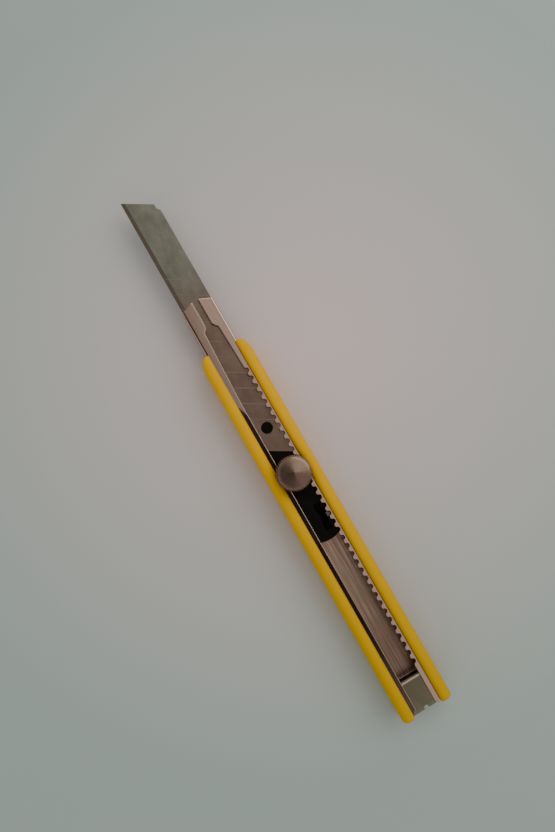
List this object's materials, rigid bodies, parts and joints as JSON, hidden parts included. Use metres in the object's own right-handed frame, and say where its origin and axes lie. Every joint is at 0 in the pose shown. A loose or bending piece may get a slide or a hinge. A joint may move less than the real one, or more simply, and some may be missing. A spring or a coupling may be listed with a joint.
{
  "type": "snap-off utility knife",
  "caption": "Slim snap-off utility knife: yellow moulded sleeve round a scalloped steel channel, sliding blade clamped by a knurled thumb wheel, blade snapper in the tail.",
  "frame": {"origin": "middle of the handle sleeve's flat back, which the knife rests on", "axes": "+X along the knife to the blade's tip, +Z out of the channel's slot, +Y to the cutting edge's side"},
  "size_m": [0.1614, 0.0148, 0.0129],
  "materials": {
    "yellow_plastic": "satin moulded",
    "rolled_stainless": "bright rolled",
    "blade_steel": "ground",
    "black_plastic": "moulded",
    "turned_steel": "turned and knurled",
    "spring_steel": "bright",
    "zinc_plate": "zinc plated",
    "stud_steel": "turned",
    "washer_steel": "pressed",
    "clip_stainless": "rolled",
    "plug_plastic": "moulded"
  },
  "bodies": {
    "handle": {"handle_sleeve": "yellow_plastic", "blade_channel": "rolled_stainless"},
    "slider": {"slider_body": "black_plastic", "snap_off_blade": "blade_steel", "click_spring": "spring_steel", "wheel_washer": "washer_steel"},
    "wheel": {"thumb_wheel": "turned_steel"},
    "clamp": {"clamp_plate": "zinc_plate", "clamp_stud": "stud_steel"},
    "tail_snapper": {"snapper_clip": "clip_stainless", "tail_plug": "plug_plastic"}
  },
  "joints": [
    {"name": "slider_travel", "type": "slide", "parent": "handle", "child": "slider", "axis": [1, 0, 0], "range_m": [-0.042, 0.045], "deforming": ["click_spring"]},
    {"name": "wheel_turn", "type": "hinge", "parent": "slider", "child": "wheel", "pos_m": [0.01605, 0, 0.0075], "axis": [0, 0, 1], "range_deg": [0, 360]},
    {"name": "clamp_release", "type": "slide", "parent": "slider", "child": "clamp", "axis": [0, 0, -1], "range_m": [0, 0.0005]},
    {"name": "snapper_pull", "type": "slide", "parent": "handle", "child": "tail_snapper", "axis": [-1, 0, 0], "range_m": [0, 0.0115]}
  ],
  "couplings": [
    {"joint": "wheel_turn", "follows": "clamp_release", "rad_per_m": 12566}
  ]
}
